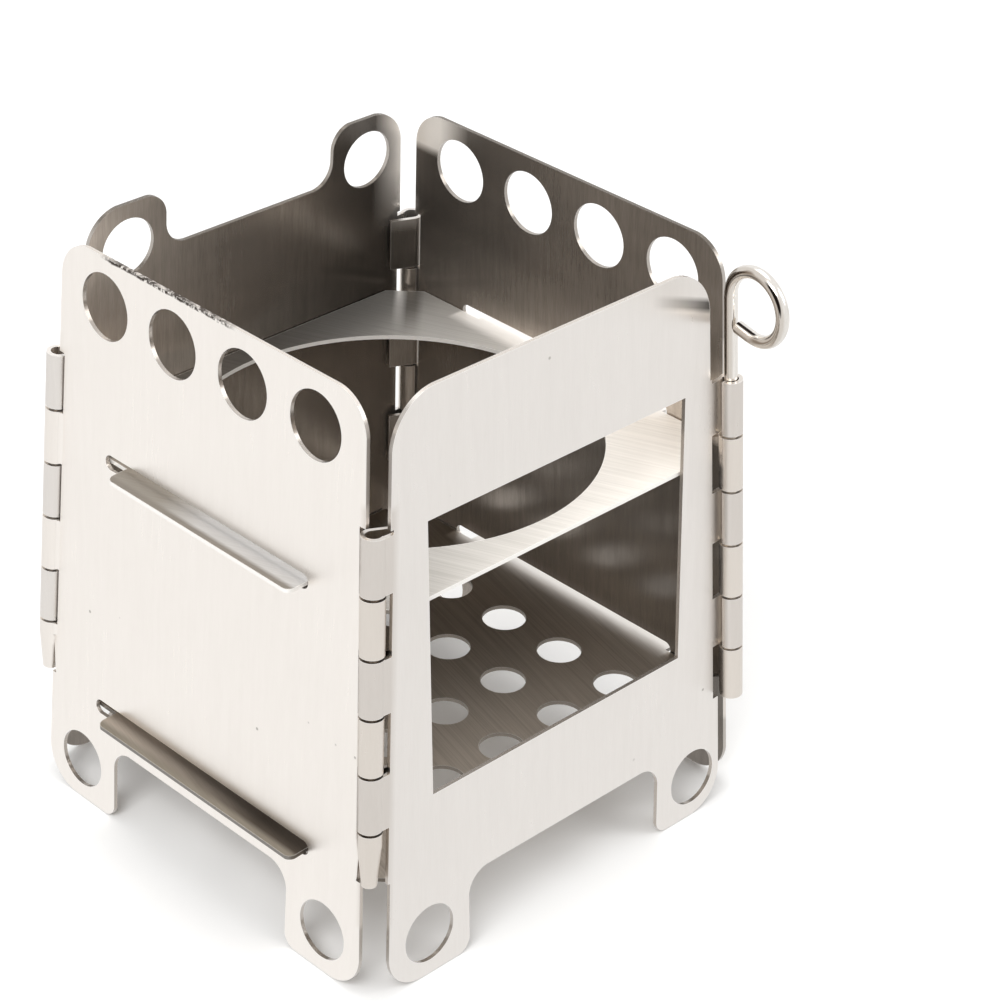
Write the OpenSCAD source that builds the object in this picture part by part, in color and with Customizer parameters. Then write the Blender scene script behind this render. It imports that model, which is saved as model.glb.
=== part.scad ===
// Folding twig stove: four hinged sheet walls that lean inwards, a fire grate, a pot ring
// and a ring pin that locks the last corner. The front wall with the window faces -Y.
// Origin at the middle of the ground between the feet, +Z up, millimetres.

/* [Body] */
// Outer width of the body at the ground, the same both ways
base_w = 100; // [96:1:112]
// Outer width of the body at the top edge, the same both ways
top_w = 88; // [84:1:96]
// Height from the ground to the top edge
body_h = 120; // [114:1:132]
// Thickness of the steel sheet
sheet_t = 0.8; // [0.7:0.1:1]
// Radius of the top corners of the two side walls
side_round = 8; // [5:0.5:10]
// Radius of the top corners of the front wall
front_round = 10.5; // [6:0.5:14]

/* [Feet and ears] */
// Width of a foot, measured in from the corner of the body
foot_w = 24.5; // [23:0.5:30]
// Height of the arch between two feet
arch_h = 17; // [15:0.5:20]
// Radius where a foot runs into its arch
arch_round = 5; // [2:0.5:7]
// Radius of the outer bottom corner of a foot
foot_round = 8; // [5:0.5:9]
// Radius of the inner bottom corner of a foot
foot_inner_round = 3; // [1:0.5:4]
// Diameter of the peg hole in a foot or an ear
peg_hole_d = 12; // [9:0.5:13]
// Distance from the corner of the body to the middle of a foot's hole
foot_hole_in = 14.4; // [13.5:0.1:16]
// Height of the middle of a foot's hole above the ground
foot_hole_z = 9; // [8:0.5:10]
// Width of an ear of the back wall, measured in from the corner of the body
ear_w = 23.2; // [22:0.1:28]
// Depth of the notch between the two ears
notch_depth = 12; // [8:0.5:14]
// Distance from the corner of the body to the middle of an ear's hole
ear_hole_in = 14.1; // [13:0.1:15.5]
// Distance from the top edge down to the middle of an ear's hole
ear_hole_drop = 9; // [8:0.1:10]
// How far the two ears lie to the left of the middle, seen from behind
ear_shift = 2.7; // [0:0.1:3.2]

/* [Vents and window] */
// Number of vent holes along the top of each side wall
vent_n = 4; // [2:1:4]
// Diameter of a vent hole
vent_d = 13; // [8:0.5:14]
// Distance between the middles of neighbouring vent holes
vent_pitch = 19; // [16:0.5:20]
// Distance from the top edge down to the middle of the vent holes
vent_drop = 9.6; // [8.5:0.1:14]
// Width of the fuel window in the front wall
window_w = 64.5; // [40:0.5:68]
// Height of the fuel window
window_h = 56; // [30:0.5:60]
// Height of the window's sill above the ground
window_z = 39; // [32:0.5:46]
// How far the window lies to the left of the middle
window_shift = 1.8; // [0:0.1:3]

/* [Hinges] */
// Diameter of the hinge wires and of the ring pin
wire_d = 2.6; // [2.2:0.1:3]
// Room on each side between a wire and the knuckle rolled round it
wire_gap = 0.2; // [0.1:0.05:0.3]
// Number of knuckles at a corner
knuckle_n = 6; // [4:2:6]
// Length of the corner that one knuckle takes up
knuckle_l = 11.8; // [9:0.1:12.4]
// Height of the lower end of the lowest knuckle
knuckle_z = 25; // [22:0.5:28]
// Gap between the ends of neighbouring knuckles
knuckle_gap = 0.5; // [0.3:0.1:0.8]
// Gap between a wall's edge and the knuckles of the wall next to it
edge_gap = 0.4; // [0.3:0.1:0.8]
// Gap left where a rolled knuckle comes round to its own sheet
seam_gap = 0.4; // [0.2:0.1:0.6]
// How far the front and back walls' knuckles stand proud of their outer face
end_proud = 0.2; // [0.1:0.05:0.4]
// How far the side walls' knuckles stand proud of their outer face
side_proud = 1.6; // [1.2:0.1:1.8]
// Radius where a side wall runs out into its knuckle
side_fillet = 1.5; // [1:0.1:2]
// Distance from the hinge line to the tip of the rolled-in end of a front or back knuckle
roll_reach = 5.2; // [4.4:0.1:6.5]
// How far a side wall stops short of the hinge line above the knuckles
side_upper_in = 1.2; // [0.6:0.1:2]
// How far a side wall's foot stops short of the hinge line
side_foot_in = 1.7; // [0.6:0.1:2.4]
// How far the front and back walls stop short of the hinge line above the knuckles
end_upper_in = 2; // [1.6:0.1:2.8]
// How far the back wall stops short of the hinge line above the knuckles on its right, seen from behind
back_upper_in = 7; // [1.6:0.1:7.4]
// How far the front and back walls' feet stop short of the hinge line
end_foot_in = 3.2; // [2:0.1:4]
// Length of the closed-in end of the lowest knuckle, which holds the hinge wire
crimp_l = 8.5; // [5:0.5:8.8]
// Outer radius at the tip of the closed-in end
crimp_tip_r = 1.45; // [1.2:0.05:1.6]
// Bore radius at the tip of the closed-in end
crimp_tip_bore = 0.6; // [0.3:0.05:0.8]
// Depth of the upper end of a hinge wire below the rim of the top knuckle
wire_recess = 4; // [0.5:0.1:6]

/* [Pin corner] */
// How far the right wall's knuckles lie behind its outer face
pin_recess = 1.5; // [0.8:0.1:2]
// Distance from the pin's line to the right wall's edge
right_pin_in = 4.7; // [4.2:0.1:5.4]
// Distance from the pin's line to the front wall's edge beside the knuckles
front_pin_in = 3.8; // [3.2:0.1:4.6]
// Distance from the pin's line to the front wall's edge above the knuckles
front_pin_upper_in = 4.2; // [3.4:0.1:5]
// Distance from the pin's line to the front wall's edge at the foot
front_pin_foot_in = 2.4; // [2:0.1:4]
// Gap between the front wall and the free end of its knuckles rolled outwards
free_gap = 1.1; // [0.4:0.1:1.4]

/* [Ring pin] */
// Diameter of the finger loop, measured outside
loop_d = 16; // [13:0.5:20]
// Height of the middle of the loop above the top knuckle
loop_rise = 17; // [12:0.5:22]
// Turn of the loop round the shaft, towards the front wall, in degrees
loop_turn = 5; // [0:1:30]
// Rise of the loop's straight end, in degrees
loop_end_a = 11; // [0:1:20]
// How much thinner in radius the wire is round the loop's bend
bend_thin = 0.03; // [0.02:0.01:0.05]
// Gap between the loop's end and the shaft
loop_end_gap = 0.4; // [0.3:0.1:1]
// Height of the inward lip at the foot of the pin corner
stop_l = 0.8; // [0.5:0.1:1.5]
// How far the lip reaches in under the pin
stop_lip = 0.5; // [0.4:0.1:0.8]
// Gap between the pin's end and the lip
pin_seat = 0.3; // [0.1:0.05:0.5]

/* [Plates] */
// Gap between a plate and the walls and knuckles round it
plate_gap = 0.3; // [0.2:0.05:0.5]
// Height of the top face of the pot ring plate
ring_z = 79; // [72:0.5:86]
// Diameter of the opening in the pot ring plate
ring_d = 80; // [50:0.5:82]
// Height of the top face of the fire grate
grate_z = 24; // [22:0.1:30]
// Number of air holes along each side of the grate
grate_n = 5; // [3:1:5]
// Diameter of an air hole
grate_hole_d = 9; // [5:0.1:10]
// Distance between the middles of neighbouring air holes
grate_pitch = 15.8; // [12:0.1:16]
// Length of the pot ring's slots in the side walls
ring_slot_l = 56.4; // [40:0.1:62]
// Length of the fire grate's slots in the side walls
grate_slot_l = 62.2; // [40:0.1:64]
// Height of a slot
slot_h = 3; // [2.6:0.1:3.4]
// Room under a tab in its slot, so that the slot can swing away along the sloping tab
tab_seat = 0.5; // [0.3:0.05:0.8]
// Room left in a slot behind a plate's tab
tab_play_back = 4.8; // [0.5:0.1:6]
// Room left in a slot in front of a plate's tab
tab_play_front = 1; // [0.9:0.1:5]
// How far a tab stands out of the wall
tab_out = 3.7; // [2:0.1:5]
// Slope of a tab outside the wall, in degrees
tab_droop = 3; // [1:1:6]
// Radius of the outer corners of a tab
tab_round = 1.7; // [0.5:0.1:3]

/* [Hidden] */
$fn = 64;
steel = "gainsboro";
bright_steel = "lightgray";
dark_steel = "silver";
over = 1;

// The walls lean in by the same slope, so a corner line tilts in the plane of each wall
slope = (base_w - top_w) / (2 * body_h);
slant = sqrt(1 + slope * slope);
lean_a = atan(slope);
edge_a = atan(slope / slant);
sheet_top = body_h * slant + sheet_t * slope;

// A knuckle is the sheet rolled round its wire
wire_r = wire_d / 2;
bore_r = wire_r + wire_gap;
knuckle_r = bore_r + sheet_t;
knuckle_top = knuckle_z + knuckle_n * knuckle_l;
notch_in = knuckle_r + edge_gap;

// Where a hinge line lies, out from the outer face: on the side walls, on the front and back
// walls, and at the pin corner on the front wall, rolled outwards, and on the right wall
side_in = side_proud - knuckle_r;
end_in = end_proud - knuckle_r;
pin_out = -end_in - sheet_t;
pin_in = -pin_recess - knuckle_r;

// Level of an inward-rolled wall's inner face, out from the hinge line
side_low = -side_in - sheet_t;
end_low = -end_in - sheet_t;

// Pieces of one sheet or wire run into each other a little, and never end in one plane
bend_lap = 0.2;
strap_inset = 0.1;
fillet_inset = 0.17;
// A rounding meets its edges at a slight angle
blend = 0.02;
// Thickness of a piece of sheet drawn inside another one's faces
thick = sheet_t - 2 * blend;
// Angle by which a curl runs on under its straight end
lap_a = 12;

loop_r = (loop_d - wire_d) / 2;

// Direction at an angle in the plane
function dir(a) = [cos(a), sin(a)];

// Distance from a wall's middle to a hinge line, at the foot of the wall. The line lies
// own mm out from this wall and other mm out from the neighbour.
function hinge_x(own, other) = base_w / 2 + other * slant - own * slope * slope / slant;

// Position along a hinge line of the point at height z
function along(z, own) = (z * slant - own * slope) / cos(edge_a);

// Point beside a right-hand hinge line: s mm up it and e mm in from it
function beside(x0, s, e) = [
    x0 - s * sin(edge_a) - e * cos(edge_a),
    s * cos(edge_a) - e * sin(edge_a)
];

// The same line of points met at height y
function edge_at(x0, y, e) = [x0 - y * tan(edge_a) - e / cos(edge_a), y];

// Half the clear room between two walls' inner faces at height z
function inner_half(z) = base_w / 2 - z * slope - sheet_t * slant;

// Lower end of knuckle i, counted from the top
function knuckle_low(i) = knuckle_top - (i + 1) * knuckle_l + knuckle_gap / 2;

// A strap ends inside the wall of its curl, half way between the two circles
function strap_end(own) = (
    sqrt(pow(knuckle_r, 2) - pow(max(abs(own), abs(own + sheet_t)), 2))
    + sqrt(pow(bore_r, 2) - pow(min(abs(own), abs(own + sheet_t)), 2))
) / 2;

knuckle_len = knuckle_l - knuckle_gap;
side_hinge = hinge_x(side_in, end_in);
end_hinge = hinge_x(end_in, side_in);
pin_on_front = hinge_x(pin_out, pin_in);
pin_on_right = hinge_x(pin_in, pin_out);

// Sliver between a corner at p and a circle that touches both its edges
module corner_sliver(p, a1, a2, r) {
    half = (a2 - a1) / 2;
    mid = (a1 + a2) / 2;
    c = p + dir(mid) * r / sin(half);
    far = r + over;
    difference() {
        polygon([c, c + far * dir(a1 - 90), c - dir(mid) * far / sin(half), c + far * dir(a2 + 90)]);
        translate(c) circle(r = r + blend);
    }
}

// Both sides of a wall alike
module both_sides() {
    children();
    mirror([1, 0, 0]) children();
}

// Half a wall's outline with its edge on the right: edge set in by low, mid and up mm
// from the hinge line at the feet, beside the knuckles and above them
module half_outline(x0, own, low, mid, up, top_round) {
    s_low = along(knuckle_z, own);
    s_up = along(knuckle_top, own) + knuckle_gap;
    difference() {
        polygon([
            [-over, 0],
            edge_at(x0, 0, low),
            beside(x0, s_low, low),
            beside(x0, s_low, mid),
            beside(x0, s_up, mid),
            beside(x0, s_up, up),
            edge_at(x0, sheet_top, up),
            [-over, sheet_top]
        ]);
        corner_sliver(edge_at(x0, 0, low), 90 + edge_a, 180, foot_round);
        corner_sliver(edge_at(x0, sheet_top, up), 180, 270 + edge_a, top_round);
    }
}

// Straps that carry every second knuckle of a wall, from knuckle first on
module straps(x0, own, mid, first, crimped) {
    for (i = [first:2:knuckle_n - 1]) {
        low = along(knuckle_low(i), own) + strap_inset;
        high = low + knuckle_len - 2 * strap_inset;
        cut = crimped && i == knuckle_n - 1 ? crimp_l : 0;
        polygon([
            beside(x0, low, mid + over),
            beside(x0, low, mid - strap_inset),
            beside(x0, low + cut, strap_end(own)),
            beside(x0, high, strap_end(own)),
            beside(x0, high, mid + over)
        ]);
    }
}

// Sheet outline turned into a wall plate, its outer face on the plane
module sheet() {
    translate([0, 0, -sheet_t]) linear_extrude(sheet_t) children();
}

// Rolled curl along +Y round the hinge line, open by gap beside the level low, from seam_from
// up. The profile gives its foot: plain, closed in or with a lip.
module curl(foot, seam_from, low, gap) {
    rotate([-90, 0, 0]) difference() {
        rotate_extrude() polygon(concat(foot, [[knuckle_r, knuckle_len], [bore_r, knuckle_len]]));
        translate([-2 * knuckle_r, -low - sheet_t / 5, seam_from])
            cube([2 * knuckle_r, gap + sheet_t / 5, knuckle_len + 2 * over]);
    }
}

plain_foot = [[bore_r, 0], [knuckle_r, 0]];
crimp_foot = [[bore_r, crimp_l], [crimp_tip_bore, 0], [crimp_tip_r, 0], [knuckle_r, crimp_l]];
lip_foot = [[bore_r, stop_l], [wire_r - stop_lip, stop_l], [wire_r - stop_lip, 0], [knuckle_r, 0]];

// Things drawn along a right-hand hinge line, which lies own mm out from the wall
module at_hinge(x0, own) {
    translate([x0, 0, own]) rotate([0, 0, edge_a]) children();
}

// Every second curl of a wall, from knuckle first on, the lowest with its own foot
module curls(x0, own, first, low, gap = seam_gap, low_foot = plain_foot, low_seam = -over) {
    at_hinge(x0, own) for (i = [first:2:knuckle_n - 1]) {
        lowest = i == knuckle_n - 1;
        translate([0, along(knuckle_low(i), own), 0])
            curl(lowest ? low_foot : plain_foot, lowest ? low_seam : -over, low, gap);
    }
}

// A section drawn out along every second knuckle, from knuckle first on, short by inset at
// both ends and by low_cut more at the foot of the lowest
module along_knuckles(x0, own, first, inset, low_cut = 0) {
    at_hinge(x0, own) for (i = [first:2:knuckle_n - 1]) {
        cut = i == knuckle_n - 1 ? low_cut : 0;
        translate([0, along(knuckle_low(i), own) + inset + cut, 0]) rotate([-90, 0, 0])
            linear_extrude(knuckle_len - 2 * inset - cut) mirror([0, 1]) children();
    }
}

// Section of a front or back knuckle: a curl that runs out straight towards its own sheet
module roll_section() {
    tip = [-roll_reach, end_low - seam_gap];
    inner = bore_r + blend;
    turn = atan2(tip.y, tip.x) + acos(inner / norm(tip));
    far = 2 * knuckle_r;
    difference() {
        circle(r = knuckle_r);
        circle(r = bore_r);
        polygon([
            [0, 0],
            [-strap_end(end_in) - strap_inset, end_low + sheet_t / 5],
            [-far, end_low + sheet_t / 5],
            [-far, -far],
            far * dir(turn - lap_a)
        ]);
    }
    polygon([tip, inner * dir(turn), (inner + thick) * dir(turn), tip + thick * dir(turn)]);
}

// Section of the fillet where a side wall runs out into its knuckle
module fillet_section() {
    rise = side_fillet - side_in;
    c = [-sqrt(pow(knuckle_r + side_fillet, 2) - pow(rise, 2)), rise];
    mid = -side_in - sheet_t / 2;
    difference() {
        polygon([c * (knuckle_r + bore_r) / 2 / norm(c), c, [c.x, mid], [-strap_end(side_in), mid]]);
        translate(c) circle(r = side_fillet + blend);
    }
}

// Section of the right wall's straps at the pin corner, which slope in to their knuckles
module slope_section() {
    knee = [strap_inset - right_pin_in, -pin_in - blend];
    outer = knuckle_r - blend;
    turn = atan2(knee.y, knee.x) - acos(outer / norm(knee));
    start = -right_pin_in - over;
    polygon([
        [start, knee.y],
        knee,
        outer * dir(turn),
        (outer - thick) * dir(turn),
        knee - [thick * tan((90 - turn) / 2), thick],
        [start, knee.y - thick]
    ]);
}

// Arch between the feet, with round inner corners and rounded feet
module arch() {
    half = base_w / 2 - foot_w;
    both_sides() {
        difference() {
            translate([-over, -over]) square([half + over, arch_h + over]);
            corner_sliver([half, arch_h], 180, 270, arch_round);
        }
        corner_sliver([half, 0], 0, 90, foot_inner_round);
    }
}

// Peg holes of the two feet
module foot_holes() {
    both_sides() translate([base_w / 2 - foot_hole_in, foot_hole_z]) circle(d = peg_hole_d);
}

// Row of vent holes and the two plate slots of a side wall
module side_cuts() {
    for (i = [0:vent_n - 1])
        translate([(i - (vent_n - 1) / 2) * vent_pitch, body_h - vent_drop]) circle(d = vent_d);
    plate_slot(ring_z, ring_slot_l);
    plate_slot(grate_z, grate_slot_l);
}

// Slot with round ends for the tab of a plate whose top face is at height z
module plate_slot(z, l) {
    translate([0, (z - sheet_t - tab_seat) * slant + slot_h / 2]) {
        square([l - slot_h, slot_h], center = true);
        both_sides() translate([(l - slot_h) / 2, 0]) circle(d = slot_h + 2 * blend);
    }
}

// Notch and holes that leave two ears on the back wall
module ear_cuts() {
    half = top_w / 2 - ear_w;
    low = sheet_top - notch_depth;
    translate([-ear_shift, 0]) both_sides() {
        difference() {
            translate([-over, low]) square([half + over, notch_depth + over]);
            corner_sliver([half, low], 90, 180, arch_round);
        }
        corner_sliver([half, sheet_top], 270, 360, arch_round);
        translate([top_w / 2 - ear_hole_in, body_h - ear_hole_drop]) circle(d = peg_hole_d);
    }
}

module window() {
    translate([-window_w / 2 - window_shift, window_z]) square([window_w, window_h]);
}

// Stand a wall on the ground, leaning in, turned round the body
module stand(turn) {
    rotate([0, 0, turn]) translate([0, -base_w / 2, 0]) rotate([90 - lean_a, 0, 0]) children();
}

// Feet and top edge cut level
module level() {
    difference() {
        children();
        translate([-base_w, -base_w, -body_h]) cube([2 * base_w, 2 * base_w, body_h]);
        translate([-base_w, -base_w, body_h]) cube([2 * base_w, 2 * base_w, body_h]);
    }
}

module back_wall() {
    color(steel) level() stand(180) {
        sheet() difference() {
            union() {
                half_outline(end_hinge, end_in, end_foot_in, notch_in, back_upper_in, side_round);
                mirror([1, 0, 0])
                    half_outline(end_hinge, end_in, end_foot_in, notch_in, end_upper_in, side_round);
                both_sides() straps(end_hinge, end_in, notch_in, 0, false);
            }
            arch();
            foot_holes();
            ear_cuts();
        }
        both_sides() along_knuckles(end_hinge, end_in, 0, 0) roll_section();
    }
}

// Knuckles of a side wall at a wired corner
module side_knuckles() {
    curls(side_hinge, side_in, 1, side_low, low_foot = crimp_foot, low_seam = crimp_l);
    along_knuckles(side_hinge, side_in, 1, fillet_inset, crimp_l) fillet_section();
}

module left_wall() {
    color(steel) level() stand(270) {
        sheet() difference() {
            both_sides() {
                half_outline(side_hinge, side_in, side_foot_in, notch_in, side_upper_in, side_round);
                straps(side_hinge, side_in, notch_in, 1, true);
            }
            arch();
            foot_holes();
            side_cuts();
        }
        both_sides() side_knuckles();
    }
}

module front_wall() {
    color(steel) level() stand(0) {
        sheet() difference() {
            union() {
                mirror([1, 0, 0]) {
                    half_outline(end_hinge, end_in, end_foot_in, notch_in, end_upper_in, front_round);
                    straps(end_hinge, end_in, notch_in, 0, false);
                }
                half_outline(
                    pin_on_front, pin_out, front_pin_foot_in, front_pin_in, front_pin_upper_in, front_round
                );
                straps(pin_on_front, pin_out, front_pin_in, 0, false);
            }
            arch();
            foot_holes();
            window();
        }
        mirror([1, 0, 0]) along_knuckles(end_hinge, end_in, 0, 0) roll_section();
        curls(pin_on_front, pin_out, 0, free_gap - pin_out - sheet_t / 5, free_gap);
    }
}

module right_wall() {
    color(steel) level() stand(90) {
        sheet() difference() {
            union() {
                half_outline(side_hinge, side_in, side_foot_in, notch_in, side_upper_in, side_round);
                straps(side_hinge, side_in, notch_in, 1, true);
                mirror([1, 0, 0])
                    half_outline(
                        pin_on_right, pin_in, right_pin_in, right_pin_in, right_pin_in, side_round
                    );
            }
            arch();
            foot_holes();
            side_cuts();
        }
        side_knuckles();
        mirror([1, 0, 0]) {
            curls(pin_on_right, pin_in, 1, end_low, low_foot = lip_foot, low_seam = stop_l);
            along_knuckles(pin_on_right, pin_in, 1, strap_inset) slope_section();
        }
    }
}

// Wire of a permanent hinge, from its crimp to just below the top rim
module hinge_wire(turn, x0, own) {
    low = along(knuckle_low(knuckle_n - 1), own) + crimp_l;
    high = along(knuckle_top, own) - wire_recess;
    color(dark_steel) stand(turn) at_hinge(x0, own)
        translate([0, low, 0]) rotate([-90, 0, 0]) cylinder(h = high - low, r = wire_r);
}

module back_hinge_wire() {
    hinge_wire(90, side_hinge, side_in);
}

module left_hinge_wire() {
    hinge_wire(180, end_hinge, end_in);
}

module front_hinge_wire() {
    hinge_wire(270, side_hinge, side_in);
}

// Straight wire bent over at the top into a finger loop
module ring_pin() {
    low = along(knuckle_low(knuckle_n - 1), pin_in) + stop_l + pin_seat;
    high = along(knuckle_top, pin_in) + loop_rise;
    turn = 270 + loop_end_a;
    reach = loop_r * (1 - sin(loop_end_a)) - wire_r * (1 + sin(loop_end_a)) - loop_end_gap;
    color(bright_steel) stand(90) translate([-pin_on_right, 0, pin_in]) rotate([0, -loop_turn, -edge_a]) {
        translate([0, low, 0]) rotate([-90, 0, 0]) cylinder(h = high + bend_lap - low, r = wire_r);
        translate([-loop_r, high, 0]) {
            rotate_extrude(angle = turn) translate([loop_r, 0]) circle(r = wire_r - bend_thin);
            rotate([0, 0, turn]) translate([loop_r, -bend_lap, 0]) rotate([-90, 0, 0])
                cylinder(h = reach / cos(loop_end_a) + bend_lap, r = wire_r);
        }
    }
}

// Outline of a plate whose top face is at height z, its corners cut clear of the knuckles
module plate_outline(z) {
    half = inner_half(z) - plate_gap;
    cut = base_w / 2 - z * slope + side_in * slant - roll_reach - sheet_t;
    polygon([
        [half, -cut], [half, cut], [cut, half], [-cut, half],
        [-half, cut], [-half, -cut], [-cut, -half], [cut, -half]
    ]);
}

// Tab of a plate on its right side: through the wall, then sloping a little down
module plate_tab(z, slot_l) {
    start = inner_half(z) - plate_gap - over;
    wall = base_w / 2 - (z - sheet_t) * slope;
    tip = [wall, z] + tab_out * dir(-tab_droop);
    y0 = -slot_l / 2 + tab_play_front;
    y1 = slot_l / 2 - tab_play_back;
    difference() {
        translate([0, y1, 0]) rotate([90, 0, 0]) linear_extrude(y1 - y0) polygon([
            [start, z - sheet_t],
            [wall - sheet_t * tan(tab_droop / 2), z - sheet_t],
            tip - sheet_t * dir(90 - tab_droop),
            tip,
            [wall, z],
            [start, z]
        ]);
        translate([0, 0, z - body_h / 2]) linear_extrude(body_h) {
            corner_sliver([tip.x, y0], 90, 180, tab_round);
            corner_sliver([tip.x, y1], 180, 270, tab_round);
        }
    }
}

// Flat plate with a tab on each side
module plate(z, slot_l) {
    translate([0, 0, z - sheet_t]) linear_extrude(sheet_t) difference() {
        plate_outline(z);
        children();
    }
    both_sides() plate_tab(z, slot_l);
}

module pot_ring() {
    color(steel) plate(ring_z, ring_slot_l) circle(d = ring_d);
}

module fire_grate() {
    color(dark_steel) plate(grate_z, grate_slot_l) {
        for (i = [0:grate_n - 1], j = [0:grate_n - 1])
            translate([i - (grate_n - 1) / 2, j - (grate_n - 1) / 2] * grate_pitch)
                circle(d = grate_hole_d);
    }
}

back_wall();
left_wall();
front_wall();
right_wall();
back_hinge_wire();
left_hinge_wire();
front_hinge_wire();
ring_pin();
pot_ring();
fire_grate();
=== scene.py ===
import math
import bpy
from mathutils import Matrix, Vector


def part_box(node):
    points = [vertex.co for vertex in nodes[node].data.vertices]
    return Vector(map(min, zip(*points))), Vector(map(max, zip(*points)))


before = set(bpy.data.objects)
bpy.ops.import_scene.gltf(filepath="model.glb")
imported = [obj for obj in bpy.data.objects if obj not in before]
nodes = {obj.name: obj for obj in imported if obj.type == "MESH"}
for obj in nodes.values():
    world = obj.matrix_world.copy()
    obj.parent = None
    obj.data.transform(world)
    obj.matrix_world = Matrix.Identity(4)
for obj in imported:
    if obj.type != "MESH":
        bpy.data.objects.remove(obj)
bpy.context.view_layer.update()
scene = bpy.context.scene
scene.view_settings.view_transform = "Standard"
print("frame loaded:", len(nodes), "nodes")


# small helpers for the node trees
def newMaterial(name):
    mat = bpy.data.materials.new(name)
    mat.use_nodes = True
    tree = mat.node_tree
    tree.nodes.clear()
    out = tree.nodes.new("ShaderNodeOutputMaterial")
    return mat, tree, out


# an input goes in by its socket's name, or by its place as i0, i1 and so on
def addNode(tree, kind, settings=None, **inputs):
    node = tree.nodes.new(kind)
    for key, value in (settings or {}).items():
        setattr(node, key, value)
    for key, value in inputs.items():
        byPlace = key[0] == "i" and key[1:].isdigit()
        socket = node.inputs[int(key[1:]) if byPlace else key.replace("_", " ")]
        if isinstance(value, bpy.types.NodeSocket):
            tree.links.new(value, socket)
        else:
            socket.default_value = value
    return node


def mathNode(tree, operation, a, b=0.0, clamp=False):
    settings = {"operation": operation, "use_clamp": clamp}
    return addNode(tree, "ShaderNodeMath", settings, i0=a, i1=b).outputs[0]


def times(tree, a, b, clamp=False):
    return mathNode(tree, "MULTIPLY", a, b, clamp)


def plus(tree, a, b):
    return mathNode(tree, "ADD", a, b)


def minus(tree, a, b):
    return mathNode(tree, "SUBTRACT", a, b)


def larger(tree, a, b):
    return mathNode(tree, "MAXIMUM", a, b)


def smaller(tree, a, b):
    return mathNode(tree, "MINIMUM", a, b)


def unsigned(tree, value):
    return mathNode(tree, "ABSOLUTE", value)


def mixValue(tree, factor, a, b):
    node = addNode(tree, "ShaderNodeMix", {"data_type": "FLOAT"}, i0=factor, i2=a, i3=b)
    return node.outputs[0]


def mixColour(tree, factor, a, b, blend="MIX"):
    settings = {"data_type": "RGBA", "blend_type": blend}
    return addNode(tree, "ShaderNodeMix", settings, i0=factor, i6=a, i7=b).outputs[2]


def scaleColour(tree, colour, value):
    node = addNode(tree, "ShaderNodeVectorMath", {"operation": "SCALE"}, i0=colour, Scale=value)
    return node.outputs[0]


def dotProduct(tree, a, b):
    node = addNode(tree, "ShaderNodeVectorMath", {"operation": "DOT_PRODUCT"}, i0=a, i1=b)
    return node.outputs["Value"]


def splitXyz(tree, vector):
    return addNode(tree, "ShaderNodeSeparateXYZ", i0=vector).outputs


def stretch(tree, value, low, high, toLow=0.0, toHigh=1.0):
    node = addNode(tree, "ShaderNodeMapRange", {"clamp": True},
                   i0=value, i1=low, i2=high, i3=toLow, i4=toHigh)
    return node.outputs[0]


def noise(tree, coords, scale, detail=2.0, rough=0.5):
    node = addNode(tree, "ShaderNodeTexNoise",
                   Vector=coords, Scale=scale, Detail=detail, Roughness=rough)
    return node.outputs[0]


def grainCoords(tree, coords, along, squeeze, turn=0.0):
    if turn:
        unturn = (0, 0, math.radians(-turn))
        coords = addNode(tree, "ShaderNodeMapping", Vector=coords, Rotation=unturn).outputs[0]
    scale = [1.0, 1.0, 1.0]
    scale[along] = squeeze
    return addNode(tree, "ShaderNodeMapping", Vector=coords, Scale=scale).outputs[0]


# edges show where a rounded normal leaves the flat one
edgeSettings = {"samples": 6, "leaves": (0.995, 0.9)}


def edgeMask(tree, radius):
    rounded = addNode(tree, "ShaderNodeBevel", {"samples": edgeSettings["samples"]}, Radius=radius)
    flat = addNode(tree, "ShaderNodeNewGeometry").outputs["Normal"]
    return stretch(tree, dotProduct(tree, rounded.outputs[0], flat), *edgeSettings["leaves"])


# how far the surface of the piece faces a direction of its own
def normalTowards(tree, direction):
    normal = addNode(tree, "ShaderNodeTexCoord").outputs["Normal"]
    length = math.sqrt(sum(part * part for part in direction))
    return dotProduct(tree, normal, tuple(part / length for part in direction))


# a direction of the piece itself, which turns with it when it swings
def ownDirection(tree, direction):
    settings = {"vector_type": "VECTOR", "convert_from": "OBJECT", "convert_to": "WORLD"}
    return addNode(tree, "ShaderNodeVectorTransform", settings, i0=direction).outputs[0]


upright = (0.004, 0.003, 1.0)  # a hair off plumb, so that it is never along a normal


# gloss of upright grain spreads level, round the wall and its knuckles
def levelTangent(tree):
    normal = addNode(tree, "ShaderNodeNewGeometry").outputs["Normal"]
    node = addNode(tree, "ShaderNodeVectorMath", {"operation": "CROSS_PRODUCT"},
                   i0=normal, i1=ownDirection(tree, upright))
    return node.outputs[0]


# brushed tone: fine grain, wider bands of it, and blotches
toneSettings = {
    "grainShare": 0.6,
    "bandShare": 0.4,
    "bandSqueeze": 3,
    "streakFrom": (0.36, 0.64),
    "streakShare": 0.6,
    "blotchShare": 0.4,
    "toneFrom": (0.15, 0.85),
}


def shareOut(tree, a, shareA, b, shareB):
    return plus(tree, times(tree, a, shareA), times(tree, b, shareB))


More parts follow.
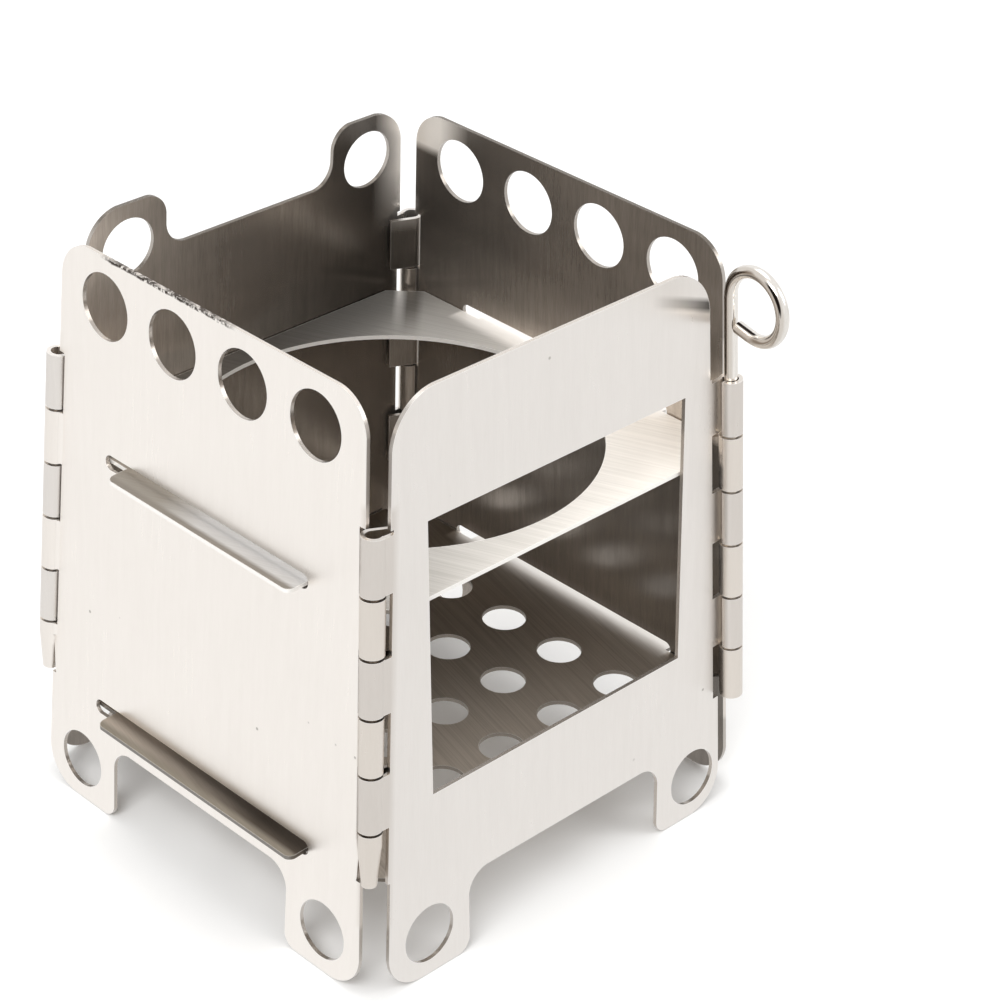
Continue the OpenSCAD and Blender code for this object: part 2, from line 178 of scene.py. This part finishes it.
def brushedTone(tree, coords, finish, along, turn=0.0):
    shares = toneSettings
    squeeze = finish["grainSqueeze"]
    fine = grainCoords(tree, coords, along, squeeze, turn)
    wide = grainCoords(tree, coords, along, squeeze * shares["bandSqueeze"], turn)
    grain = noise(tree, fine, finish["grainScale"], 3.0, 0.6)
    band = noise(tree, wide, finish["bandScale"], 2.0)
    blotch = noise(tree, coords, finish["blotchScale"], 4.0, 0.6)
    streak = stretch(tree, shareOut(tree, grain, shares["grainShare"], band, shares["bandShare"]),
                     *shares["streakFrom"])
    tone = stretch(tree, shareOut(tree, streak, shares["streakShare"], blotch, shares["blotchShare"]),
                   *shares["toneFrom"])
    return streak, tone


def finishSteel(tree, out, finish, colour, roughness, metal, streak, tangent):
    bump = addNode(tree, "ShaderNodeBump",
                   Strength=finish["bump"], Distance=finish["bumpDepth"], Height=streak)
    shader = addNode(tree, "ShaderNodeBsdfPrincipled", Base_Color=colour, Metallic=metal,
                     Roughness=roughness, Anisotropic=finish["anisotropy"],
                     Normal=bump.outputs[0], Tangent=tangent)
    tree.links.new(shader.outputs[0], out.inputs[0])


# brushed sheet of the walls: upright grain, bright outside; the dark inside colour is painted shade with
# painted reflected light
# pairs are limits in metres along the wall or up it, or limits of how the surface faces
sideFinish = {
    "across": (1.0, 0.2, 0.0),
    "alongAxis": 1,
    "outside": ((0.980, 0.930, 0.875, 1), (0.955, 0.905, 0.85, 1)),
    "speck": (0.52, 0.49, 0.45, 1),
    "speckScale": 210,
    "speckSize": (0.085, 0.04),
    "speckPick": (0.88, 0.93),
    # rolled knuckles, coloured darker, more at the front than at the back
    "lean": 0.05,
    "pinSide": (0.0, 0.001),
    "pinShift": 0.0,
    "rollFrom": (0.0452, 0.0468),
    "rollTop": (0.1010, 0.0995),
    "rollFoot": (0.0145, 0.016),
    "rollAcross": (1.0, 1.0, 0.0),
    "rollTurn": (-0.028, -0.050),
    "sheetTurn": (0.006, -0.006),
    "knuckle": (0.79, 0.77, 0.745, 1),
    "knuckleDarkening": (0.02, -0.02, 0.3, 1.0),
    # inside, less metallic, its colour painted dark as shade: levels along the wall, above and below the
    # upper plate, with painted light just above the plate and painted bands of reflected light
    "inside": ((0.330, 0.290, 0.251, 1), (0.245, 0.213, 0.182, 1)),
    "insideAlong": (0.045, -0.045),
    "insidePower": 1.0,
    "insideHigh": (2.2, 2.2),
    "highMost": 2.6,
    "insideLow": (1.8, 1.8),
    "insideMost": 2.6,
    "insideBand": (0.88, 1.14),
    "insideDull": 0.28,
    "insideGloss": 0.78,
    "cloudSqueeze": 3.0,
    "cloudScale": 24,
    "cloudFrom": (0.36, 0.64),
    "plateUp": (0.077, 0.079),
    "plateGlow": 1.0,
    "glowUp": (0.097, 0.083),
    # edges lighter, partly wear and partly painted highlight, and the rims of the holes
    "edge": (0.93, 0.905, 0.87, 1),
    "edgeRadius": 0.00028,
    "edgeWearAndHighlight": (0.4, 0.9, 0.75, 0.3),
    "rim": (0.40, 0.365, 0.33, 1),
    "rimTurn": (0.020, 0.012),
    "rimBelow": (0.1185, 0.1175),
    "rimShare": 0.8,
    # grain
    "grainSqueeze": 0.012,
    "grainScale": 5200,
    "bandScale": 900,
    "blotchScale": 42,
    "roughness": (0.27, 0.34),
    "anisotropy": 0.7,
    "bump": 0.04,
    "bumpDepth": 0.00004,
}
# the right wall's inside gets its own painted light and shade levels, along the wall and above and below
# the plate
rightFinish = dict(sideFinish)
rightFinish.update({
    "insideHigh": (0.30, 2.15),
    "highMost": 1.5,
    "insideLow": (1.35, 0.5),
    "plateGlow": 2.0,
})
# end walls: outside painted darker than on the side walls, as painted shade
endFinish = dict(sideFinish)
endFinish.update({
    "across": (0.2, 1.0, 0.0),
    "alongAxis": 0,
    "outside": ((0.850, 0.812, 0.772, 1), (0.825, 0.787, 0.747, 1)),
    "knuckle": (0.84, 0.82, 0.80, 1),
})
frontFinish = dict(endFinish)
frontFinish.update({"pinShift": 0.0022})
# the back wall's inside gets its own painted light and shade levels
backFinish = dict(endFinish)
backFinish.update({"insideHigh": (0.28, 2.6), "insideLow": (0.8, 0.8), "insidePower": 2.0})
# painted light: a bright, less metallic patch on the inside near the top of the back-right corner
rightLitPatch = {
    "colour": (0.70, 0.65, 0.59, 1),
    "along": (0.026, 0.034),
    "up": (0.1108, 0.1128),
    "dull": 0.7,
}
backLitPatch = {
    "colour": (0.92, 0.87, 0.81, 1),
    "along": (0.0345, 0.0412),
    "up": (0.0925, 0.1060),
    "dull": 0.7,
}
# upward-facing top edges coloured dark
rightDarkTopEdge = {"colour": (0.20, 0.175, 0.15, 1), "above": (0.1165, 0.1175), "upward": (0.5, 0.8)}
backDarkTopEdge = {"colour": (0.20, 0.175, 0.15, 1), "above": (0.098, 0.100), "upward": (0.5, 0.8)}
# painted reflection of the finger loop's stub: a dark slanting line on the front wall beside the loop
paintedLoopReflection = {
    "colour": (0.10, 0.092, 0.084, 1),
    "from": (0.021, 0.036),
    "until": (0.0372, 0.0362),
    "line": (0.03365, 0.1125),
    "slope": 0.37,
    "width": (0.0017, 0.0006),
}
# soot along one top edge
sootFinish = {
    "colour": (0.03, 0.02, 0.013, 1),
    "fromTo": (-0.0075, 0.0300),
    "fadeOut": 0.003,
    "drop": 0.00022,
    "wander": 0.0007,
    "wanderScale": 420,
    "width": (0.00046, 0.00018),
    "gritScale": 1000,
    "gritFrom": (0.38, 0.50),
    "rougher": 0.4,
}


def sootMask(tree, coords, finish, top):
    axes = splitXyz(tree, coords)
    low, high = finish["fromTo"]
    fade = finish["fadeOut"]
    along = times(tree, stretch(tree, axes[1], low, low + fade), stretch(tree, axes[1], high, high - fade))
    swing = minus(tree, noise(tree, coords, finish["wanderScale"], 3.0, 0.6), 0.5)
    height = plus(tree, axes[2], times(tree, swing, finish["wander"]))
    line = stretch(tree, unsigned(tree, minus(tree, height, top - finish["drop"])), *finish["width"])
    grit = stretch(tree, noise(tree, coords, finish["gritScale"], 3.0, 0.7), *finish["gritFrom"])
    return times(tree, times(tree, line, grit), along, True)


# painted reflection of the finger loop: a slanting line on the front wall
def loopReflectionMask(tree, axes, finish):
    along = times(tree, stretch(tree, axes[0], *finish["from"]), stretch(tree, axes[0], *finish["until"]))
    lineX, lineZ = finish["line"]
    drop = times(tree, minus(tree, axes[0], lineX), finish["slope"])
    away = unsigned(tree, minus(tree, plus(tree, axes[2], drop), lineZ))
    return times(tree, stretch(tree, away, *finish["width"]), along)


def litPatchMask(tree, axes, finish, alongAxis):
    return times(tree, stretch(tree, axes[alongAxis], *finish["along"]),
                 stretch(tree, axes[2], *finish["up"]))


def speckMask(tree, coords, finish):
    cells = addNode(tree, "ShaderNodeTexVoronoi", {"feature": "F1"},
                    Vector=coords, Scale=finish["speckScale"])
    dot = stretch(tree, cells.outputs["Distance"], *finish["speckSize"])
    pick = stretch(tree, splitXyz(tree, cells.outputs["Color"])[0], *finish["speckPick"])
    return times(tree, dot, pick)


# which side of the sheet: the rolled knuckles count as outside nearly all round
def wallSides(tree, texture, axes, finish):
    reach = plus(tree, unsigned(tree, axes[finish["alongAxis"]]), times(tree, axes[2], finish["lean"]))
    reach = plus(tree, reach, stretch(tree, axes[0], *finish["pinSide"], 0.0, finish["pinShift"]))
    rows = times(tree, stretch(tree, axes[2], *finish["rollTop"]),
                 stretch(tree, axes[2], *finish["rollFoot"]))
    rolled = times(tree, stretch(tree, reach, *finish["rollFrom"]), rows)
    sides = []
    for weights in (finish["across"], finish["rollAcross"]):
        flat = addNode(tree, "ShaderNodeVectorMath", {"operation": "MULTIPLY"},
                       i0=texture.outputs["Object"], i1=weights)
        sides.append(dotProduct(tree, flat.outputs[0], texture.outputs["Normal"]))
    innerSheet = stretch(tree, sides[0], *finish["sheetTurn"])
    innerRoll = stretch(tree, sides[1], *finish["rollTurn"])
    return rolled, sides[0], mixValue(tree, rolled, innerSheet, innerRoll)


def wallOutside(tree, coords, axes, finish, tone, rolled):
    colour = mixColour(tree, tone, *finish["outside"])
    # the rolled knuckles are coloured darker, more at the front than at the back
    knuckleDark = times(tree, rolled, stretch(tree, axes[1], *finish["knuckleDarkening"]))
    colour = mixColour(tree, knuckleDark, colour, finish["knuckle"], "MULTIPLY")
    return mixColour(tree, speckMask(tree, coords, finish), colour, finish["speck"])


# painted shade and painted reflected light on the inside: darker or lighter along the wall, a change at
# the upper plate, painted light just above it and cloudy bands of painted reflection
def wallInside(tree, coords, axes, finish, streak):
    along = axes[finish["alongAxis"]]
    cloud = noise(tree, grainCoords(tree, coords, 2, finish["cloudSqueeze"]), finish["cloudScale"], 2.0)
    far = mathNode(tree, "POWER", stretch(tree, along, *finish["insideAlong"]), finish["insidePower"])
    high = smaller(tree, stretch(tree, far, 0.0, 1.0, *finish["insideHigh"]), finish["highMost"])
    high = times(tree, high, stretch(tree, axes[2], *finish["glowUp"], 1.0, finish["plateGlow"]))
    low = stretch(tree, along, *finish["insideAlong"], *finish["insideLow"])
    level = mixValue(tree, stretch(tree, axes[2], *finish["plateUp"]), low, high)
    level = times(tree, level, stretch(tree, cloud, *finish["cloudFrom"], *finish["insideBand"]))
    level = smaller(tree, level, finish["insideMost"])
    return scaleColour(tree, mixColour(tree, streak, *finish["inside"]), level)


def wallSteel(name, finish, soot=None, litPatch=None, loopReflection=None, darkTopEdge=None, top=0.0):
    mat, tree, out = newMaterial(name)
    texture = addNode(tree, "ShaderNodeTexCoord")
    coords = texture.outputs["Object"]
    axes = splitXyz(tree, coords)
    streak, tone = brushedTone(tree, coords, finish, 2)
    rolled, facing, inner = wallSides(tree, texture, axes, finish)
    outside = wallOutside(tree, coords, axes, finish, tone, rolled)
    # painted reflection of the finger loop
    if loopReflection:
        outside = mixColour(tree, loopReflectionMask(tree, axes, loopReflection), outside, loopReflection["colour"])
    # the inside colour is painted shade with painted reflected light
    inside = wallInside(tree, coords, axes, finish, streak)
    dull = finish["insideDull"]
    # painted light patch on the inside, also less metallic
    if litPatch:
        patchShare = litPatchMask(tree, axes, litPatch, finish["alongAxis"])
        inside = mixColour(tree, patchShare, inside, litPatch["colour"])
        dull = stretch(tree, patchShare, 0.0, 1.0, dull, litPatch["dull"])
    colour = mixColour(tree, inner, outside, inside)
    metal = minus(tree, 1.0, times(tree, inner, dull))
    roughness = times(tree, stretch(tree, tone, 0.0, 1.0, *finish["roughness"]),
                      stretch(tree, inner, 0.0, 1.0, 1.0, finish["insideGloss"]))

    # edges lighter: partly wear, partly painted highlight
    edge = times(tree, edgeMask(tree, finish["edgeRadius"]), stretch(tree, inner, *finish["edgeWearAndHighlight"]))
    colour = mixColour(tree, edge, colour, finish["edge"])
    rim = times(tree, stretch(tree, unsigned(tree, facing), *finish["rimTurn"]),
                stretch(tree, axes[2], *finish["rimBelow"]))
    onSheet = minus(tree, finish["rimShare"], times(tree, rolled, finish["rimShare"]))
    colour = mixColour(tree, times(tree, rim, onSheet), colour, finish["rim"])
    # upward-facing top edges coloured dark
    if darkTopEdge:
        upward = stretch(tree, splitXyz(tree, texture.outputs["Normal"])[2], *darkTopEdge["upward"])
        darkTop = times(tree, upward, stretch(tree, axes[2], *darkTopEdge["above"]))
        colour = mixColour(tree, darkTop, colour, darkTopEdge["colour"])
    if soot:
        burnt = sootMask(tree, coords, soot, top)
        colour = mixColour(tree, burnt, colour, soot["colour"])
        roughness = plus(tree, roughness, times(tree, burnt, soot["rougher"]))
        metal = times(tree, metal, minus(tree, 1.0, burnt))
    finishSteel(tree, out, finish, colour, roughness, metal, streak, levelTangent(tree))
    return mat


# plates: slanting grain, painted shade fading from front to back, tabs painted with light and shade
ringFinish = {
    "face": ((0.95, 0.908, 0.848, 1), (0.76, 0.723, 0.668, 1)),
    "faceFade": (0.036, -0.066, 0.21, 0.97),
    "fadeSlant": 0.9,
    "tabFrom": (0.0405, 0.0430),
    "tabHalf": (0.0286, 0.0278),
    "tabBack": (0.36, 0.33, 0.29, 1),
    "tabFront": (0.62, 0.605, 0.59, 1),
    "tabTurn": (0.011, 0.000),
    "tabLip": (0.29, 0.262, 0.23, 1),
    "lipFrom": (0.0480, 0.0489),
    "tabTint": (0.55, 0.52, 0.48, 1),
    "tintShare": 0.25,
    "tabRight": (0.92, 0.885, 0.84, 1),
    "rightFrom": (-0.001, 0.001),
    "tabEnd": (0.5, 0.8),
    "edge": (0.92, 0.895, 0.86, 1),
    "edgeRadius": 0.00026,
    "edgeWearAndHighlight": 0.75,
    "cut": (0.92, 0.895, 0.86, 1),
    "cutFrom": (0.5, 0.3),
    "cutShare": 0.8,
    "cutDull": 0.6,
    "grainTurn": 24.0,
    "grainRise": 0.02,
    "grainSqueeze": 0.010,
    "grainScale": 3600,
    "bandScale": 900,
    "blotchScale": 38,
    "roughness": (0.42, 0.50),
    "anisotropy": 0.85,
    "bump": 0.12,
    "bumpDepth": 0.00004,
}
# the grate is lower in the box: its face, fade and cut faces are painted darker as shade
grateFinish = dict(ringFinish)
grateFinish.update({
    "face": ((0.52, 0.465, 0.405, 1), (0.38, 0.335, 0.285, 1)),
    "faceFade": (0.034, -0.030, 0.80, 1.30),
    "fadeSlant": 0.0,
    "tabFrom": (0.0440, 0.0470),
    "tabHalf": (0.0315, 0.0307),
    "tabBack": (0.61, 0.535, 0.46, 1),
    "tabFront": (0.12, 0.099, 0.081, 1),
    "tabTurn": (0.026, -0.018),
    "tabLip": (0.34, 0.305, 0.255, 1),
    "lipFrom": (0.0505, 0.0516),
    "cut": (0.13, 0.112, 0.093, 1),
    "cutDull": 0.0,
    "grainTurn": -15.0,
})
# painted light: a bright glint from light through the gap between two walls, with a painted shaded strip
# beside it, in one corner of the ring plate
cornerGlint = {
    "bright": (0.85, 0.82, 0.785, 1),
    "brightAcross": (-0.0013, 0.0022, 0.0006),
    "brightAlong": (0.060, 0.084, 0.0, 0.8),
    "dull": (0.50, 0.48, 0.46, 1),
    "shadeAcross": (0.0021, 0.0036, 0.0012),
    "shadeAlong": (0.054, 0.074, 0.0, 0.9),
}


# a strip along the corner's diagonal, for the painted glint and its painted shade
def glintMask(tree, axes, across, along):
    middle, wide, narrow = across
    beside = minus(tree, minus(tree, axes[0], axes[1]), middle)
    outward = plus(tree, axes[0], axes[1])
    return times(tree, stretch(tree, unsigned(tree, beside), wide, narrow),
                 stretch(tree, outward, *along))


# painted light and shade on the tabs: back and front parts, a darker lip, the right-hand tabs painted
# bright as lit, the tab ends painted as highlights; the tint follows the grain tone
def tabColour(tree, axes, finish, tone):
    frontPart = stretch(tree, axes[1], *finish["tabTurn"])
    colour = mixColour(tree, frontPart, finish["tabBack"], finish["tabFront"])
    leftward = times(tree, axes[0], -1.0)
    colour = mixColour(tree, stretch(tree, leftward, *finish["lipFrom"]), colour, finish["tabLip"])
    tint = times(tree, tone, finish["tintShare"])
    colour = mixColour(tree, tint, colour, finish["tabTint"], "MULTIPLY")
    colour = mixColour(tree, stretch(tree, axes[0], *finish["rightFrom"]), colour, finish["tabRight"])
    end = stretch(tree, unsigned(tree, normalTowards(tree, (1, 0, 0))), *finish["tabEnd"])
    return mixColour(tree, end, colour, finish["edge"])


def plateSteel(name, finish, glint=None):
    mat, tree, out = newMaterial(name)
    coords = addNode(tree, "ShaderNodeTexCoord").outputs["Object"]
    axes = splitXyz(tree, coords)
    streak, tone = brushedTone(tree, coords, finish, 1, finish["grainTurn"])
    # painted shade fading from front to back across the plate
    across = minus(tree, axes[1], times(tree, axes[0], finish["fadeSlant"]))
    fade = stretch(tree, across, *finish["faceFade"])
    face = scaleColour(tree, mixColour(tree, tone, *finish["face"]), fade)
    # painted glint with a painted shaded strip beside it
    if glint:
        shadedSide = glintMask(tree, axes, glint["shadeAcross"], glint["shadeAlong"])
        face = mixColour(tree, shadedSide, face, glint["dull"], "MULTIPLY")
        brightSide = glintMask(tree, axes, glint["brightAcross"], glint["brightAlong"])
        face = mixColour(tree, brightSide, face, glint["bright"])
    onTab = times(tree, stretch(tree, unsigned(tree, axes[0]), *finish["tabFrom"]),
                  stretch(tree, unsigned(tree, axes[1]), *finish["tabHalf"]))
    colour = mixColour(tree, onTab, face, tabColour(tree, axes, finish, tone))
    # edges lighter: partly wear, partly painted highlight
    edge = times(tree, edgeMask(tree, finish["edgeRadius"]), finish["edgeWearAndHighlight"])
    colour = mixColour(tree, edge, colour, finish["edge"])
    # cut faces painted light on the ring and dark as shade on the grate
    cut = stretch(tree, unsigned(tree, normalTowards(tree, (0, 0, 1))), *finish["cutFrom"])
    colour = mixColour(tree, times(tree, cut, finish["cutShare"]), colour, finish["cut"])
    metal = minus(tree, 1.0, times(tree, cut, finish["cutDull"]))
    roughness = stretch(tree, tone, 0.0, 1.0, *finish["roughness"])
    turn = math.radians(finish["grainTurn"])
    grain = ownDirection(tree, (math.cos(turn), math.sin(turn), finish["grainRise"]))
    finishSteel(tree, out, finish, colour, roughness, metal, streak, grain)
    return mat


# drawn wire: the ring pin is polished, the hinge wires are rougher and painted dark as shade inside the
# knuckles; both carry painted reflections set by which way the surface faces
pinFinish = {
    "tones": ((0.88, 0.845, 0.80, 1), (0.74, 0.705, 0.66, 1)),
    "toneFrom": (0.35, 0.65),
    # painted reflections fixed to the piece: a beige side, a brown band, a black streak and a black patch
    # on the stub
    "beige": (0.64, 0.585, 0.525, 1),
    "beigeSide": (-1.0, 0.1, 0.0),
    "beigeTurn": (0.38, 0.66, 0.0, 0.85),
    "brown": (0.20, 0.145, 0.10, 1),
    "brownBand": (0.15, 0.10, 0.03),
    "brownTurn": (0.80, 0.95),
    "brownShare": 0.8,
    "black": (0.012, 0.009, 0.007, 1),
    "blackSide": (-0.88, -0.36, 0.29),
    "blackTurn": (0.958, 0.980),
    "stubSide": (-0.40, -0.10, 0.91),
    "stubTurn": (0.955, 0.985),
    "stubBelow": (0.1105, 0.1095),
    "roughness": (0.12, 0.22),
    "scratchScale": 1600,
    "scratchSqueeze": 0.06,
    "scratchShare": 0.5,
    "stainScale": 90,
    "stainShare": 0.5,
    "bump": 0.05,
    "bumpDepth": 0.00003,
}
# hinge wires painted dark as shade inside the knuckles
hingeFinish = dict(pinFinish)
hingeFinish.update({
    "tones": ((0.34, 0.305, 0.27, 1), (0.20, 0.175, 0.15, 1)),
    "beige": (0.25, 0.22, 0.19, 1),
    "roughness": (0.22, 0.34),
})


def wireSteel(name, finish):
    mat, tree, out = newMaterial(name)
    coords = addNode(tree, "ShaderNodeTexCoord").outputs["Object"]
    drawn = grainCoords(tree, coords, 2, finish["scratchSqueeze"])
    scratch = noise(tree, drawn, finish["scratchScale"], 3.0, 0.6)
    stain = noise(tree, coords, finish["stainScale"], 3.0, 0.6)
    tone = stretch(tree, shareOut(tree, scratch, finish["scratchShare"], stain, finish["stainShare"]),
                   *finish["toneFrom"])
    colour = mixColour(tree, tone, *finish["tones"])
    # painted reflections by the facing of the surface
    left = normalTowards(tree, finish["beigeSide"])
    colour = mixColour(tree, stretch(tree, left, *finish["beigeTurn"]), colour, finish["beige"])
    middle, wide, narrow = finish["brownBand"]
    away = unsigned(tree, minus(tree, normalTowards(tree, (0, 1, 0)), middle))
    brown = times(tree, stretch(tree, away, wide, narrow, 0.0, finish["brownShare"]),
                  stretch(tree, left, *finish["brownTurn"]))
    colour = mixColour(tree, brown, colour, finish["brown"])
    black = stretch(tree, normalTowards(tree, finish["blackSide"]), *finish["blackTurn"])
    stub = times(tree, stretch(tree, normalTowards(tree, finish["stubSide"]), *finish["stubTurn"]),
                 stretch(tree, splitXyz(tree, coords)[2], *finish["stubBelow"]))
    colour = mixColour(tree, larger(tree, black, stub), colour, finish["black"])
    roughness = stretch(tree, tone, 0.0, 1.0, *finish["roughness"])
    bump = addNode(tree, "ShaderNodeBump",
                   Strength=finish["bump"], Distance=finish["bumpDepth"], Height=scratch)
    shader = addNode(tree, "ShaderNodeBsdfPrincipled", Base_Color=colour, Metallic=1.0,
                     Roughness=roughness, Normal=bump.outputs[0])
    tree.links.new(shader.outputs[0], out.inputs[0])
    return mat


def dress(node, mat):
    piece = nodes[node]
    piece.data.materials.clear()
    piece.data.materials.append(mat)


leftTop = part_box("left_wall")[1][2]
dress("left_wall", wallSteel("leftSteel", sideFinish, soot=sootFinish, top=leftTop))
dress("right_wall", wallSteel("rightSteel", rightFinish, litPatch=rightLitPatch, darkTopEdge=rightDarkTopEdge))
dress("front_wall", wallSteel("frontSteel", frontFinish, loopReflection=paintedLoopReflection))
dress("back_wall", wallSteel("backSteel", backFinish, litPatch=backLitPatch, darkTopEdge=backDarkTopEdge))
dress("pot_ring", plateSteel("ringSteel", ringFinish, cornerGlint))
dress("fire_grate", plateSteel("grateSteel", grateFinish))
dress("ring_pin", wireSteel("polishedWire", pinFinish))
shadedWire = wireSteel("shadedWire", hingeFinish)
for node in ("back_hinge_wire", "left_hinge_wire", "front_hinge_wire"):
    dress(node, shadedWire)
print("finishes on")


# pale floor: takes a soft shadow near the part, white far away and in the metal's reflections
floorSettings = {
    "size": 8.0,
    "drop": 0.0002,
    "colour": (0.93, 0.93, 0.925, 1),
    "whiteFrom": (0.35, 0.9),
}


def makeFloor(settings):
    bpy.ops.object.select_all(action="DESELECT")
    bpy.ops.mesh.primitive_plane_add(size=settings["size"], location=(0, 0, -settings["drop"]))
    floor = bpy.context.object
    floor.name = "floor"
    mat, tree, out = newMaterial("paleFloor")
    path = addNode(tree, "ShaderNodeLightPath").outputs
    mirrored = larger(tree, path["Is Glossy Ray"], path["Is Transmission Ray"])
    coords = addNode(tree, "ShaderNodeTexCoord").outputs["Object"]
    away = addNode(tree, "ShaderNodeVectorMath", {"operation": "LENGTH"}, i0=coords).outputs["Value"]
    whiteness = larger(tree, mirrored, stretch(tree, away, *settings["whiteFrom"]))
    paper = addNode(tree, "ShaderNodeBsdfDiffuse", Color=settings["colour"])
    white = addNode(tree, "ShaderNodeEmission", Color=(1, 1, 1, 1), Strength=1.0)
    both = addNode(tree, "ShaderNodeMixShader", i0=whiteness, i1=paper.outputs[0], i2=white.outputs[0])
    tree.links.new(both.outputs[0], out.inputs[0])
    floor.data.materials.append(mat)


makeFloor(floorSettings)

# soft studio light: a white room and three soft boxes
roomSettings = {"fill": 0.75, "white": 1.0}
softBoxAim = (0, 0, 0.06)
softBoxes = {
    "keyBox": {"place": (-1.1, -0.5, 1.3), "size": 0.9, "power": 16},
    "fillBox": {"place": (0.9, -1.2, 1.0), "size": 0.9, "power": 7},
    "topBox": {"place": (0.2, 0.5, 1.8), "size": 1.2, "power": 7},
}


def makeRoom(settings):
    world = bpy.data.worlds.new("whiteRoom")
    scene.world = world
    world.use_nodes = True
    tree = world.node_tree
    tree.nodes.clear()
    out = addNode(tree, "ShaderNodeOutputWorld")
    path = addNode(tree, "ShaderNodeLightPath").outputs
    mirrored = larger(tree, path["Is Glossy Ray"], path["Is Transmission Ray"])
    seen = larger(tree, path["Is Camera Ray"], mirrored)
    strength = stretch(tree, seen, 0.0, 1.0, settings["fill"], settings["white"])
    sky = addNode(tree, "ShaderNodeBackground", Color=(1, 1, 1, 1), Strength=strength)
    tree.links.new(sky.outputs[0], out.inputs[0])


def makeSoftBox(name, settings, aim):
    data = bpy.data.lights.new(name, "AREA")
    data.shape = "SQUARE"
    data.size = settings["size"]
    data.energy = settings["power"]
    lamp = bpy.data.objects.new(name, data)
    scene.collection.objects.link(lamp)
    lamp.location = settings["place"]
    lamp.rotation_euler = (aim - Vector(settings["place"])).to_track_quat("-Z", "Y").to_euler()


makeRoom(roomSettings)
for name, settings in softBoxes.items():
    makeSoftBox(name, settings, Vector(softBoxAim))
print("floor and light set")

# camera: its place was solved from the holes and edges in the photograph
cameraSettings = {
    "azimuth": -45.516,
    "elevation": 31.191,
    "roll": 2.034,
    "distance": 0.590988,
    "target": (0.033729, 0.004295, 0.049197),
    "focalPixels": 2936.4,
    "imagePixels": 1001,
    "sensor": 36,
    "clipStart": 0.05,
}


def makeCamera(settings):
    turn, rise, roll = (math.radians(settings[key]) for key in ("azimuth", "elevation", "roll"))
    back = Vector((math.sin(turn) * math.cos(rise), -math.cos(turn) * math.cos(rise), math.sin(rise)))
    level = Vector((0, 0, 1)).cross(back).normalized()
    plumb = back.cross(level)
    right = level * math.cos(roll) + plumb * math.sin(roll)
    up = plumb * math.cos(roll) - level * math.sin(roll)
    data = bpy.data.cameras.new("photoCamera")
    data.sensor_width = settings["sensor"]
    data.lens = settings["focalPixels"] * settings["sensor"] / settings["imagePixels"]
    data.clip_start = settings["clipStart"]
    camera = bpy.data.objects.new("photoCamera", data)
    scene.collection.objects.link(camera)
    place = Vector(settings["target"]) + back * settings["distance"]
    camera.matrix_world = Matrix.Translation(place) @ Matrix((right, up, back)).transposed().to_4x4()
    scene.camera = camera


makeCamera(cameraSettings)
print("camera set")
